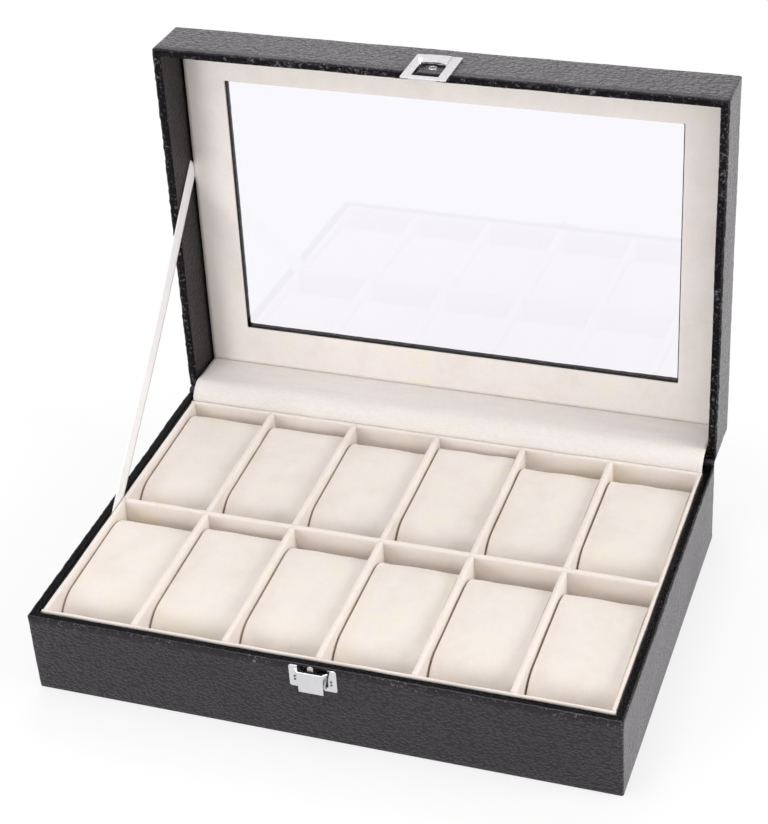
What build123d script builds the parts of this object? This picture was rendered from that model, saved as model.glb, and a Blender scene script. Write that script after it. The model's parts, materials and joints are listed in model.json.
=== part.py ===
"""A twelve-place watch display box with a hinged, glazed lid and a sprung front catch.

X runs across the box, the front is at -Y and Z is up. The origin is the centre of the underside.
The lid is modelled where it stands open, leaning on its ribbon stay.
"""

from build123d import *
from math import cos, radians, sin
import os

# Driving sizes, in millimetres and degrees
box_width = 300.0
box_depth = 204.0
base_height = 46.0
lid_depth = 30.0
open_angle = 92.0
rim_gap = 0.3            # between the two rims when the lid is shut
hinge_back = 2.3         # the fold line of the spine stands this far behind the box

board = 3.0              # the wooden walls and the bottom
lid_board = 4.0          # the lid's top panel
leather = 0.8            # covering, all round
leather_turn = 12.0      # how far the covering turns in under the base and inside its rim
skin_round = 0.7         # rounding of the covered edges

floor_card = 1.0         # velvet card on the bottom of the tray
liner_board = 2.4        # velvet boards along the walls
divider_board = 3.4      # velvet boards between the places
board_round = 0.9        # rounded top of the velvet boards
liner_gap = 0.6          # between the rim and the velvet boards
flap_gap = 2.0           # the same at the back, where the hinge cloth is tucked in
slip = 0.1               # clearance of pieces that slip past each other
places_across = 6

pillow_gap = 0.7         # between a pillow and the boards round it
pillow_slack = 8.5       # left open in front of a pillow, for the fingers
pillow_drop = 4.2        # top of a pillow below the rim
pillow_front_round = 16.0
pillow_foot_round = 10.0
pillow_back_round = 17.0
pillow_end_round = 2.5

window_margin = 27.8     # from the outside of the lid to the clear window, on average
window_right = 0.8       # the window sits a little to the right
window_front = 1.2       # and a little towards the front edge of the lid
glass = 1.5
glass_seat = 4.0         # width of the rebate that carries the glass
glass_clearance = 0.3
liner_card = 1.0         # velvet frame inside the lid
liner_step = 0.8         # its opening stands back from the covered edge of the window

spine = 0.8              # outer hinge strip
spine_reach = 16.0       # how far it is glued onto the base and the lid
spine_inset = 0.5        # from the sides of the box
flap = 0.6               # inner hinge cloth
flap_inset = 1.0         # from the inside of the rim
flap_tuck = 20.0         # how far it goes down behind the velvet board
flap_round = 3.0
flap_past_rim = 1.2      # the cloth turns down this far past the lid's rim
flap_rise = 2.2          # and turns into the tray this far above the base's rim

ribbon_width = 10.0
ribbon = 0.4
ribbon_tail = 14.0       # hidden end in the base
ribbon_lid_reach = 127.0 # from the hinge up the lid
ribbon_base_y = -4.0     # where it leaves the base

catch_sheet = 0.5        # base plate of the catch
catch_width = 24.0
catch_height = 12.7
catch_below_rim = 0.6
catch_notch_width = 15.2 # the shut strike comes down into this notch
catch_foot = 2.4         # strip left under the notch
catch_corner = 1.0
cover_sheet = 0.6
cover_width = 12.8       # front of the cover
cover_height = 12.1
cover_below_rim = 1.1
cover_front = 4.5        # front of the cover from the box
cover_back_gap = 0.4     # between the shut strike and the open back of the cover
cover_flare = 2.1        # at the top its back is this much wider on each side
cover_tuck = 0.5         # and at the bottom this much narrower
cover_round = 0.4
hook_width = 3.0
hook_sheet = 0.6
hook_above_rim = 1.9
hook_setback = 0.3       # from the back of the cover to the hook
hook_gap = 0.3           # between the tip and the shut strike's bar
hook_tip = 1.6
hook_chamfer = 1.0       # ramp on the tip
hook_past_bar = 0.2      # the tip reaches this far behind the bar
hook_foot = 2.0          # height of the foot, fixed inside the cover
pivot_radius = 0.4
pivot_clearance = 0.05
pivot_out = 2.4          # pivot pin from the box
pivot_up = 1.7           # above the bottom of the catch
ear = 0.6
ear_gap = 0.3            # between an ear and the cover's side
ear_height = 1.6
coil_wall = 0.4
coil_length = 5.0
leg_width = 0.5
leg_height = 1.5

nail_radius = 0.35
nail_head_radius = 0.6
nail_head = 0.25
nail_depth = 3.0         # into the covered wall
nail_across = 9.2        # from the middle of the catch
nail_pitch = 1.9
nail_below_rim = 7.2     # upper nails

strike_sheet = 0.6
strike_raise = 0.9       # back of the strike's sheet from the lid
strike_height = 19.0     # above the lid's rim
strike_overhang = 10.7   # below the lid's rim
strike_bar = 3.7         # bar under the opening
strike_opening = 14.0
strike_opening_top = 9.3 # above the lid's rim, in the middle
strike_arch = 2.6        # rise of the opening's arched top
strike_emboss = 0.7      # raised middle of the strike
strike_emboss_edge = 1.0 # from the raised middle to the far end
strike_emboss_inset = 0.4
strike_lip_gap = 0.3     # between the shut lip and the base
strike_lip_clearance = 0.5
strike_skirt_gap = 0.4   # skirts above the lid's rim
prong_width = 1.6
prong_depth = 2.8
prong_places = (4.0, 14.0)
rivet_radius = 1.7
rivet_hole = 0.9
rivet_shank = 1.2
rivet_head = 0.5
rivet_up = 6.2           # above the lid's rim

# Sizes that follow
half_width = box_width / 2
half_depth = box_depth / 2
rim = board + 2 * leather
floor_top = leather + board + floor_card
core_width = box_width - 2 * leather          # outside of the wooden carcass
core_depth = box_depth - 2 * leather
inner_width = box_width - 2 * rim             # between the covered walls
inner_depth = box_depth - 2 * rim
sheet_width = core_width - 2 * leather_turn   # underside sheet, inside the turned-in leather
sheet_depth = core_depth - 2 * leather_turn

tray_width = inner_width - 2 * (liner_gap + liner_board)
tray_front = -half_depth + rim + liner_gap + liner_board
tray_back = half_depth - rim - flap_gap - liner_board
tray_middle = (tray_front + tray_back) / 2
tray_length = tray_back - tray_front
pitch = (tray_width + divider_board) / places_across
place_width = pitch - divider_board
place_depth = (tray_length - divider_board) / 2
board_height = base_height - floor_top

# The lid turns about the fold line of the spine and is drawn where it stands open
hinge_y = half_depth + hinge_back
hinge_z = base_height + rim_gap / 2
turn = radians(open_angle)
lid_y = hinge_y - hinge_back * cos(turn) + rim_gap / 2 * sin(turn)
lid_z = hinge_z + hinge_back * sin(turn) + rim_gap / 2 * cos(turn)
lid_panel_back = lid_depth - leather - lid_board
lid_liner_face = lid_panel_back - liner_card
window_width = box_width - 2 * window_margin
window_depth = box_depth - 2 * window_margin

# In the lid's frame X is across, Y runs back to the hinge and Z runs out from the rim
lid_corner = Plane(origin=(0, lid_y, lid_z), x_dir=(1, 0, 0), z_dir=(0, sin(turn), cos(turn)))
lid_middle = Plane(lid_corner.location * Location((0, -half_depth, 0)))
window_middle = Plane(lid_middle.location * Location((window_right, -window_front, 0)))
lid_front = Plane(lid_middle.location * Location((0, -half_depth, 0), (90, 0, 0)))
base_front = Plane(origin=(0, -half_depth, 0), x_dir=(1, 0, 0), z_dir=(0, -1, 0))

os.makedirs("parts", exist_ok=True)


def save(part, name):
    """Name a finished piece and write it."""
    part.label = name
    export_step(part, f"parts/{name}.step")


# ---- Base carcass -------------------------------------------------------------------------------

with BuildPart() as base_bottom_board:
    with BuildSketch(Plane.XY.offset(leather)):
        Rectangle(core_width, core_depth)
    extrude(amount=board)
save(base_bottom_board.part, "base_bottom_board")

wall_bottom = leather + board
wall_height = base_height - leather - wall_bottom
nail_places = [
    (side * nail_across, base_height - nail_below_rim - row * nail_pitch)
    for side in (-1, 1)
    for row in (0, 1)
]

with BuildPart() as base_front_wall:
    with BuildSketch(Plane.XY.offset(wall_bottom)):
        with Locations((0, -(core_depth - board) / 2)):
            Rectangle(core_width, board)
    extrude(amount=wall_height)
    with BuildSketch(base_front):
        with Locations(*nail_places):
            Circle(nail_radius)
    extrude(amount=-nail_depth, mode=Mode.SUBTRACT)
save(base_front_wall.part, "base_front_wall")

with BuildPart() as base_back_wall:
    with BuildSketch(Plane.XY.offset(wall_bottom)):
        with Locations((0, (core_depth - board) / 2)):
            Rectangle(core_width, board)
    extrude(amount=wall_height)
save(base_back_wall.part, "base_back_wall")

for side, name in ((-1, "base_left_wall"), (1, "base_right_wall")):
    with BuildPart() as base_side_wall:
        with BuildSketch(Plane.XY.offset(wall_bottom)):
            with Locations((side * (core_width - board) / 2, 0)):
                Rectangle(board, core_depth - 2 * board)
        extrude(amount=wall_height)
    save(base_side_wall.part, name)

# The leather goes up the outside, over the rim and a little way down the inside, and turns in underneath
with BuildPart() as base_leather_cover:
    with BuildSketch():
        Rectangle(box_width, box_depth)
    extrude(amount=base_height)
    fillet(base_leather_cover.edges().filter_by(Axis.Z), skin_round)
    fillet(base_leather_cover.edges().group_by(Axis.Z)[-1], skin_round)
    with BuildSketch(Plane.XY.offset(base_height)):
        Rectangle(inner_width, inner_depth)
    extrude(amount=-leather_turn, mode=Mode.SUBTRACT)
    with BuildSketch(Plane.XY.offset(base_height - leather)):
        Rectangle(core_width, core_depth)
        Rectangle(inner_width + 2 * leather, inner_depth + 2 * leather, mode=Mode.SUBTRACT)
    extrude(amount=-leather_turn, mode=Mode.SUBTRACT)
    with BuildSketch(Plane.XY.offset(base_height - leather_turn)):
        Rectangle(core_width, core_depth)
    extrude(amount=leather + leather_turn - base_height, mode=Mode.SUBTRACT)
    with BuildSketch():
        Rectangle(sheet_width, sheet_depth)
    extrude(amount=leather, mode=Mode.SUBTRACT)
    with BuildSketch(base_front):
        with Locations(*nail_places):
            Circle(nail_radius)
    extrude(amount=-nail_depth, mode=Mode.SUBTRACT)
save(base_leather_cover.part, "base_leather_cover")

with BuildPart() as base_underside_sheet:
    with BuildSketch():
        Rectangle(sheet_width, sheet_depth)
    extrude(amount=leather)
save(base_underside_sheet.part, "base_underside_sheet")

# ---- Velvet tray --------------------------------------------------------------------------------

with BuildPart() as tray_floor_lining:
    with BuildSketch(Plane.XY.offset(leather + board)):
        Rectangle(core_width - 2 * board, core_depth - 2 * board)
    extrude(amount=floor_card)
save(tray_floor_lining.part, "tray_floor_lining")


def round_top(part, axis):
    """Round the two long top edges of a velvet board."""
    top = part.faces().sort_by(Axis.Z)[-1]
    fillet(top.edges().filter_by(axis), board_round)


for edge, name in ((tray_front - liner_board, "tray_front_liner"), (tray_back, "tray_back_liner")):
    with BuildPart() as tray_long_liner:
        with BuildSketch(Plane.XY.offset(floor_top)):
            with Locations((0, edge + liner_board / 2)):
                Rectangle(tray_width + 2 * liner_board, liner_board)
        extrude(amount=board_height)
        round_top(tray_long_liner, Axis.X)
    save(tray_long_liner.part, name)

for side, name in ((-1, "tray_left_liner"), (1, "tray_right_liner")):
    with BuildPart() as tray_side_liner:
        with BuildSketch(Plane.XY.offset(floor_top)):
            with Locations((side * (tray_width + liner_board) / 2, tray_middle)):
                Rectangle(liner_board, tray_length)
        extrude(amount=board_height)
        round_top(tray_side_liner, Axis.Y)
    save(tray_side_liner.part, name)

# The dividers slot over each other at half their height
divider_lines = [(place - places_across / 2) * pitch for place in range(1, places_across)]
lap = board_height / 2

with BuildPart() as tray_long_divider:
    with BuildSketch(Plane.XY.offset(floor_top)):
        with Locations((0, tray_middle)):
            Rectangle(tray_width, divider_board)
    extrude(amount=board_height)
    round_top(tray_long_divider, Axis.X)
    with BuildSketch(Plane.XY.offset(base_height)):
        with Locations(*[(x, tray_middle) for x in divider_lines]):
            Rectangle(divider_board + 2 * slip, divider_board)
    extrude(amount=-lap, mode=Mode.SUBTRACT)
save(tray_long_divider.part, "tray_long_divider")

for number, x in enumerate(divider_lines, start=1):
    with BuildPart() as tray_cross_divider:
        with BuildSketch(Plane.XY.offset(floor_top)):
            with Locations((x, tray_middle)):
                Rectangle(divider_board, tray_length)
        extrude(amount=board_height)
        round_top(tray_cross_divider, Axis.Y)
        with BuildSketch(Plane.XY.offset(floor_top)):
            with Locations((x, tray_middle)):
                Rectangle(divider_board, divider_board + 2 * slip)
        extrude(amount=board_height - lap, mode=Mode.SUBTRACT)
    save(tray_cross_divider.part, f"tray_cross_divider_{number}")

# ---- Pillows ------------------------------------------------------------------------------------

pillow_width = place_width - 2 * pillow_gap
pillow_length = place_depth - pillow_gap - pillow_slack
pillow_top = base_height - pillow_drop
rows = (("front", tray_middle - divider_board / 2 - pillow_gap), ("back", tray_back - pillow_gap))

for row, back in rows:
    for place in range(places_across):
        x = (place - (places_across - 1) / 2) * pitch
        front = back - pillow_length
        with BuildPart() as pillow:
            with BuildSketch(Plane.YZ.offset(x - pillow_width / 2)):
                with Locations(((front + back) / 2, (floor_top + pillow_top) / 2)):
                    Rectangle(pillow_length, pillow_top - floor_top)
                fillet(vertices().group_by(Axis.Y)[-1].sort_by(Axis.X)[0], pillow_front_round)
                fillet(vertices().group_by(Axis.Y)[-1].sort_by(Axis.X)[-1], pillow_back_round)
                fillet(vertices().group_by(Axis.Y)[0].sort_by(Axis.X)[0], pillow_foot_round)
            extrude(amount=pillow_width)
            fillet(pillow.faces().filter_by(Axis.X).edges(), pillow_end_round)
        save(pillow.part, f"pillow_{row}_{place + 1}")

# ---- Lid carcass --------------------------------------------------------------------------------

lid_wall_height = lid_panel_back - leather
prong_spots = [
    (side * (catch_width - strike_sheet) / 2, up) for side in (-1, 1) for up in prong_places
]

with BuildPart() as lid_front_wall:
    with BuildSketch(lid_middle.offset(leather)):
        with Locations((0, -(core_depth - board) / 2)):
            Rectangle(core_width, board)
    extrude(amount=lid_wall_height)
    with BuildSketch(lid_front):
        with Locations(*prong_spots):
            Rectangle(strike_sheet, prong_width)
    extrude(amount=-prong_depth, mode=Mode.SUBTRACT)
    with BuildSketch(lid_front):
        with Locations((0, rivet_up)):
            Circle(rivet_shank)
    extrude(amount=-prong_depth, mode=Mode.SUBTRACT)
save(lid_front_wall.part, "lid_front_wall")

with BuildPart() as lid_back_wall:
    with BuildSketch(lid_middle.offset(leather)):
        with Locations((0, (core_depth - board) / 2)):
            Rectangle(core_width, board)
    extrude(amount=lid_wall_height)
save(lid_back_wall.part, "lid_back_wall")

for side, name in ((-1, "lid_left_wall"), (1, "lid_right_wall")):
    with BuildPart() as lid_side_wall:
        with BuildSketch(lid_middle.offset(leather)):
            with Locations((side * (core_width - board) / 2, 0)):
                Rectangle(board, core_depth - 2 * board)
        extrude(amount=lid_wall_height)
    save(lid_side_wall.part, name)

# The top panel is rebated on its inner side for the glass
with BuildPart() as lid_top_panel:
    with BuildSketch(lid_middle.offset(lid_panel_back)):
        Rectangle(core_width, core_depth)
    extrude(amount=lid_board)
    with BuildSketch(window_middle.offset(lid_panel_back)):
        Rectangle(window_width + 2 * leather, window_depth + 2 * leather)
    extrude(amount=lid_board, mode=Mode.SUBTRACT)
    with BuildSketch(window_middle.offset(lid_panel_back)):
        Rectangle(window_width + 2 * glass_seat, window_depth + 2 * glass_seat)
    extrude(amount=glass, mode=Mode.SUBTRACT)
save(lid_top_panel.part, "lid_top_panel")

with BuildPart() as lid_glass:
    with BuildSketch(window_middle.offset(lid_panel_back)):
        pane_seat = glass_seat - glass_clearance
        Rectangle(window_width + 2 * pane_seat, window_depth + 2 * pane_seat)
    extrude(amount=glass)
save(lid_glass.part, "lid_glass")

# The leather covers the lid in one piece, in through the rim and into the window's edge
with BuildPart() as lid_leather_cover:
    with BuildSketch(lid_middle):
        Rectangle(box_width, box_depth)
    extrude(amount=lid_depth)
    fillet(lid_leather_cover.edges(), skin_round)
    with BuildSketch(lid_middle):
        Rectangle(inner_width, inner_depth)
    extrude(amount=lid_panel_back, mode=Mode.SUBTRACT)
    with BuildSketch(lid_middle.offset(leather)):
        Rectangle(core_width, core_depth)
        Rectangle(inner_width + 2 * leather, inner_depth + 2 * leather, mode=Mode.SUBTRACT)
    extrude(amount=lid_wall_height, mode=Mode.SUBTRACT)
    with BuildSketch(lid_middle.offset(lid_panel_back)):
        Rectangle(core_width, core_depth)
    extrude(amount=glass, mode=Mode.SUBTRACT)
    with BuildSketch(lid_middle.offset(lid_panel_back + glass)):
        Rectangle(core_width, core_depth)
        with Locations((window_right, -window_front)):
            Rectangle(window_width + 2 * leather, window_depth + 2 * leather, mode=Mode.SUBTRACT)
    extrude(amount=lid_board - glass, mode=Mode.SUBTRACT)
    with BuildSketch(window_middle.offset(lid_panel_back)):
        Rectangle(window_width, window_depth)
    extrude(amount=lid_board + leather, mode=Mode.SUBTRACT)
    with BuildSketch(lid_front):
        with Locations(*prong_spots):
            Rectangle(strike_sheet, prong_width)
        with Locations((0, rivet_up)):
            Circle(rivet_shank)
    extrude(amount=-leather, mode=Mode.SUBTRACT)
save(lid_leather_cover.part, "lid_leather_cover")

lid_liner_gap = max(flap, ribbon) + slip
with BuildPart() as lid_velvet_frame:
    with BuildSketch(lid_middle.offset(lid_liner_face)):
        Rectangle(inner_width - 2 * lid_liner_gap, inner_depth - 2 * lid_liner_gap)
        with Locations((window_right, -window_front)):
            Rectangle(window_width + 2 * liner_step, window_depth + 2 * liner_step, mode=Mode.SUBTRACT)
    extrude(amount=liner_card)
save(lid_velvet_frame.part, "lid_velvet_frame")

# ---- Hinge cloths and ribbon stay ---------------------------------------------------------------

fold = (hinge_y, hinge_z)
with BuildPart() as hinge_spine:
    with BuildSketch(Plane.YZ.offset(spine_inset - half_width)):
        with BuildLine():
            up = Line((half_depth, base_height - spine_reach), (half_depth, hinge_z))
            corner = CenterArc(fold, hinge_back, 180, -open_angle)
            out = PolarLine(corner @ 1, spine_reach + rim_gap / 2, 90 - open_angle)
            end = PolarLine(out @ 1, spine, -open_angle)
            inner = CenterArc(fold, hinge_back - spine, 180 - open_angle, open_angle)
            Line(end @ 1, inner @ 0)
            Line(inner @ 1, (half_depth + spine, base_height - spine_reach))
            Line((half_depth + spine, base_height - spine_reach), up @ 0)
        make_face()
    extrude(amount=box_width - 2 * spine_inset)
save(hinge_spine.part, "hinge_spine")

# The cloth runs from under the velvet frame, over both rims and down behind the tray
flap_top = lid_corner.from_local_coords((0, -rim, lid_panel_back - slip))
flap_turn = lid_corner.from_local_coords((0, -rim, -flap_past_rim))
flap_y = tray_back + liner_board + flap + slip
with BuildPart() as hinge_flap:
    with BuildSketch(Plane.YZ.offset(flap_inset - inner_width / 2)):
        with BuildLine() as cloth:
            FilletPolyline(
                (flap_top.Y, flap_top.Z),
                (flap_turn.Y, flap_turn.Z),
                (flap_y, base_height + flap_rise),
                (flap_y, base_height - flap_tuck),
                radius=flap_round,
            )
            offset(amount=flap, side=Side.RIGHT)
        make_face()
    extrude(amount=inner_width - 2 * flap_inset)
save(hinge_flap.part, "hinge_flap")

ribbon_top = lid_corner.from_local_coords((0, -ribbon_lid_reach, lid_liner_face))
ribbon_run = Vector(0, ribbon_top.Y - ribbon_base_y, ribbon_top.Z - base_height)
ribbon_face = Plane(
    origin=(slip - inner_width / 2, ribbon_base_y, base_height), x_dir=ribbon_run, z_dir=(1, 0, 0)
)
with BuildPart() as stay_ribbon:
    with BuildSketch(ribbon_face):
        with Locations((ribbon_run.length / 2, 0)):
            Rectangle(2 * ribbon_run.length, ribbon_width)
    extrude(amount=ribbon)
    split(bisect_by=lid_middle.offset(lid_panel_back - slip), keep=Keep.BOTTOM)
    split(bisect_by=Plane.XY.offset(base_height - ribbon_tail), keep=Keep.TOP)
save(stay_ribbon.part, "stay_ribbon")

# ---- Front catch --------------------------------------------------------------------------------

catch_top = base_height - catch_below_rim
catch_bottom = catch_top - catch_height
bar_bottom = base_height + rim_gap - strike_overhang   # of the strike, with the lid shut
bar_top = bar_bottom + strike_bar
strike_face = strike_raise + strike_sheet
cover_top = base_height - cover_below_rim
cover_bottom = cover_top - cover_height
cover_back = strike_face + cover_back_gap
pivot_z = catch_bottom + pivot_up
pivot = (-half_depth - pivot_out, pivot_z)

with BuildPart() as catch_plate:
    with BuildSketch(base_front):
        with Locations((0, (catch_top + catch_bottom) / 2)):
            Rectangle(catch_width, catch_height)
        fillet(vertices(), catch_corner)
        with Locations((0, catch_top)):
            notch_depth = catch_height - catch_foot
            Rectangle(catch_notch_width, 2 * notch_depth, mode=Mode.SUBTRACT)
        with Locations(*nail_places):
            Circle(nail_radius, mode=Mode.SUBTRACT)
    extrude(amount=catch_sheet)
    ear_outside = cover_width / 2 - cover_tuck - cover_sheet - ear_gap
    for ear_start in (-ear_outside, ear_outside - ear):
        with BuildSketch(Plane.YZ.offset(ear_start)):
            with Locations((-half_depth - (catch_sheet + pivot_out) / 2, pivot_z)):
                Rectangle(pivot_out - catch_sheet, ear_height)
            with Locations(pivot):
                Circle(ear_height / 2)
                Circle(pivot_radius, mode=Mode.SUBTRACT)
        extrude(amount=ear)
save(catch_plate.part, "catch_plate")

with BuildPart() as catch_pivot_pin:
    with BuildSketch(Plane.YZ.offset(cover_tuck - cover_width / 2)):
        with Locations(pivot):
            Circle(pivot_radius)
    extrude(amount=cover_width - 2 * cover_tuck)
save(catch_pivot_pin.part, "catch_pivot_pin")

# The spring's coil sits on the pin, one leg behind it on the plate and one up inside the cover
with BuildPart() as catch_spring:
    with BuildSketch(Plane.YZ.offset(-coil_length / 2)):
        with Locations(pivot):
            Circle(pivot_radius + coil_wall)
            Circle(pivot_radius, mode=Mode.SUBTRACT)
    extrude(amount=coil_length)
    leg_out = pivot_out + pivot_radius + coil_wall / 2
    with BuildSketch(Plane.XY.offset(pivot_z)):
        with Locations((coil_length / 2 - leg_width / 2, -half_depth - leg_out)):
            Rectangle(leg_width, coil_wall)
    extrude(amount=leg_height)
    with BuildSketch(base_front.offset(catch_sheet)):
        with Locations((leg_width / 2 - coil_length / 2, pivot_z)):
            Rectangle(leg_width, coil_wall)
    extrude(amount=pivot_out - catch_sheet - pivot_radius)
save(catch_spring.part, "catch_spring")

with BuildPart() as catch_nails:
    with BuildSketch(base_front.offset(-nail_depth)):
        with Locations(*nail_places):
            Circle(nail_radius)
    extrude(amount=nail_depth + catch_sheet)
    with BuildSketch(base_front.offset(catch_sheet)):
        with Locations(*nail_places):
            Circle(nail_head_radius)
    extrude(amount=nail_head)
    fillet(catch_nails.edges().group_by(Axis.Y)[0], nail_head / 2)
save(catch_nails.part, "catch_nails")


def cover_form(inset, outwards, above):
    """The pressed cover's form between its open back and its front, drawn smaller by inset."""
    top = cover_top + above
    bottom = cover_bottom + inset
    with BuildSketch(base_front.offset(cover_back)) as wide:
        low = cover_width / 2 - cover_tuck - inset
        high = cover_width / 2 + cover_flare - inset
        Polygon((-low, bottom), (low, bottom), (high, top), (-high, top), align=None)
    with BuildSketch(base_front.offset(outwards)) as narrow:
        half = cover_width / 2 - inset
        Polygon((-half, bottom), (half, bottom), (half, top), (-half, top), align=None)
    return [wide.sketch, narrow.sketch]


with BuildPart() as catch_cover:
    loft(cover_form(0, cover_front, 0))
    fillet(catch_cover.faces().sort_by(Axis.Y)[0].edges(), cover_round)
    loft(cover_form(cover_sheet, cover_front - cover_sheet, cover_sheet), mode=Mode.SUBTRACT)
    with BuildSketch(Plane.YZ):
        with Locations(pivot):
            Circle(pivot_radius + pivot_clearance)
    extrude(amount=cover_width, both=True, mode=Mode.SUBTRACT)
save(catch_cover.part, "catch_cover")

# The hook's tip points back through the strike's opening, over its bar
hook_back = cover_back + hook_setback
tip_bottom = bar_top + hook_gap
tip_back = strike_raise - hook_past_bar
foot_bottom = pivot_z + leg_height + slip
with BuildPart() as catch_hook:
    with BuildSketch(Plane.YZ.offset(-hook_width / 2)):
        with Locations((-half_depth - hook_back - hook_sheet, foot_bottom)):
            Rectangle(hook_sheet, base_height + hook_above_rim - foot_bottom, align=Align.MIN)
        with Locations((-half_depth - cover_front + cover_sheet, foot_bottom)):
            Rectangle(cover_front - cover_sheet - hook_back, hook_foot, align=Align.MIN)
        with Locations((-half_depth - hook_back, tip_bottom)):
            Rectangle(hook_back - tip_back, hook_tip, align=Align.MIN)
    extrude(amount=hook_width)
    fillet(catch_hook.edges().filter_by(Axis.Y).group_by(Axis.Z)[-1], hook_width / 2 - slip)
    tip_edges = catch_hook.edges().filter_by(Axis.X).group_by(Axis.Y)[-1]
    chamfer(tip_edges.sort_by(Axis.Z)[-1], hook_chamfer)
save(catch_hook.part, "catch_hook")

# ---- Strike on the lid --------------------------------------------------------------------------

arch_foot = strike_opening_top - strike_arch
with BuildPart() as strike_plate:
    with BuildSketch(lid_front.offset(strike_raise)):
        with Locations((0, (strike_height - strike_overhang) / 2)):
            Rectangle(catch_width, strike_height + strike_overhang)
        fillet(vertices(), catch_corner)
        with BuildSketch(mode=Mode.SUBTRACT) as strike_hole:
            with BuildLine():
                sides = Polyline(
                    (-strike_opening / 2, arch_foot),
                    (-strike_opening / 2, strike_bar - strike_overhang),
                    (strike_opening / 2, strike_bar - strike_overhang),
                    (strike_opening / 2, arch_foot),
                )
                ThreePointArc(sides @ 1, (0, strike_opening_top), sides @ 0)
            make_face()
    extrude(amount=strike_sheet)
    with BuildSketch(lid_front.offset(strike_face)):
        with Locations((0, (arch_foot + strike_height - strike_emboss_edge) / 2)):
            emboss_width = strike_opening - 2 * strike_emboss_inset
            Rectangle(emboss_width, strike_height - strike_emboss_edge - arch_foot)
        add(strike_hole.sketch, mode=Mode.SUBTRACT)
    extrude(amount=strike_emboss)
    skirt_height = strike_height - strike_skirt_gap - catch_corner
    with BuildSketch(lid_front):
        for side in (-1, 1):
            with Locations((side * (catch_width - strike_sheet) / 2, strike_skirt_gap + skirt_height / 2)):
                Rectangle(strike_sheet, skirt_height)
        with Locations((0, strike_height - strike_sheet / 2)):
            Rectangle(catch_width - 2 * catch_corner, strike_sheet)
    extrude(amount=strike_raise)
    with BuildSketch(lid_front):
        with Locations(*prong_spots):
            Rectangle(strike_sheet, prong_width)
    extrude(amount=-prong_depth)
    with BuildSketch(lid_front.offset(strike_raise)):
        with Locations((0, strike_sheet / 2 - strike_overhang)):
            Rectangle(catch_notch_width - 2 * strike_lip_clearance, strike_sheet)
    extrude(amount=strike_lip_gap - strike_raise)
save(strike_plate.part, "strike_plate")

with BuildPart() as strike_rivet:
    with BuildSketch(lid_front):
        with Locations((0, rivet_up)):
            Circle(rivet_radius)
    extrude(amount=rivet_head)
    outer_end = strike_rivet.edges().sort_by(Axis(lid_front.origin, lid_front.z_dir))[-1]
    fillet(outer_end, rivet_head / 2)
    with BuildSketch(lid_front):
        with Locations((0, rivet_up)):
            Circle(rivet_shank)
    extrude(amount=-prong_depth)
    with BuildSketch(lid_front.offset(rivet_head)):
        with Locations((0, rivet_up)):
            Circle(rivet_hole)
    extrude(amount=-rivet_head - prong_depth, mode=Mode.SUBTRACT)
save(strike_rivet.part, "strike_rivet")
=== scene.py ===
import json
import math

import bmesh
import bpy
import mathutils
import numpy as np
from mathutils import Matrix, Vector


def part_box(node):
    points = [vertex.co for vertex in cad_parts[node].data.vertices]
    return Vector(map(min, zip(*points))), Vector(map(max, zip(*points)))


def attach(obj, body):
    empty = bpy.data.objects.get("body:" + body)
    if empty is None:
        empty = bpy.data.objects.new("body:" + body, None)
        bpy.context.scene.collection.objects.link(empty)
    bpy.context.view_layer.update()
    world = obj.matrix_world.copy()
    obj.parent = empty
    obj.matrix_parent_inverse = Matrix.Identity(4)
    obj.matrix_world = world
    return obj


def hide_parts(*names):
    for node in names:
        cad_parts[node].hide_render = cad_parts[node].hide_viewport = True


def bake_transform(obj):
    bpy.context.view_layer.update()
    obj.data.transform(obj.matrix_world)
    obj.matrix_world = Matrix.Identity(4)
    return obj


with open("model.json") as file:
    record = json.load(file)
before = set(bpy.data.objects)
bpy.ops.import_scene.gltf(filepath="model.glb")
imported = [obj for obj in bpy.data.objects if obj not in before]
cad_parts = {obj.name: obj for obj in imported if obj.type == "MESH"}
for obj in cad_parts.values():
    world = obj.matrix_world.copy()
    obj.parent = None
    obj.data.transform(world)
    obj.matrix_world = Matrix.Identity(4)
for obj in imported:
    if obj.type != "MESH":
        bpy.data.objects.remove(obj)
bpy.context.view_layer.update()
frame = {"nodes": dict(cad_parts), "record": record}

mm = 0.001      # shapes are in millimetres, lamps and finishes in metres
openAngle = math.radians(92.0)  # the lid's turn from shut to the stored pose
box = {"width": 300.0, "depth": 204.0, "baseHeight": 46.0, "lidDepth": 30.0, "rim": 4.6, "leather": 0.8}
lidCorner = (104.530, 48.443)   # where the lid's rim meets its back face, in y and z
lidFace = 24.2                  # the velvet frame's face, out from the lid's rim
glassInside = 25.2              # the two faces of the pane, out from the lid's rim
glassOutside = 26.7
window = {"margin": 27.8, "right": 0.8, "front": 1.2, "velvetStep": 0.8}   # the clear window in the lid
floorTop = 4.8                  # the lining of the tray's floor
placePitch = 48.0333            # from the middle of one place of the tray to the next


def lidPoints(x, y, out):
    # y runs back to the hinge and out runs away from the rim, both turned by the open angle
    yWorld = lidCorner[0] + y * math.cos(openAngle) + out * math.sin(openAngle)
    zWorld = lidCorner[1] - y * math.sin(openAngle) + out * math.cos(openAngle)
    return np.stack([x, yWorld, zWorld], axis=-1)


def ripple(points, length, seed, count=8):
    # a sum of sine waves in random directions, with wavelengths about the given one, between about -1 and 1
    dice = np.random.default_rng(seed)
    directions = dice.normal(size=(count, 3))
    directions /= np.linalg.norm(directions, axis=1)[:, None]
    waves = directions * (2 * math.pi / length) * dice.uniform(0.6, 1.5, count)[:, None]
    phases = dice.uniform(0, 2 * math.pi, count)
    return np.sin(points @ waves.T + phases).sum(-1) / math.sqrt(2.0 * count)


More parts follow.
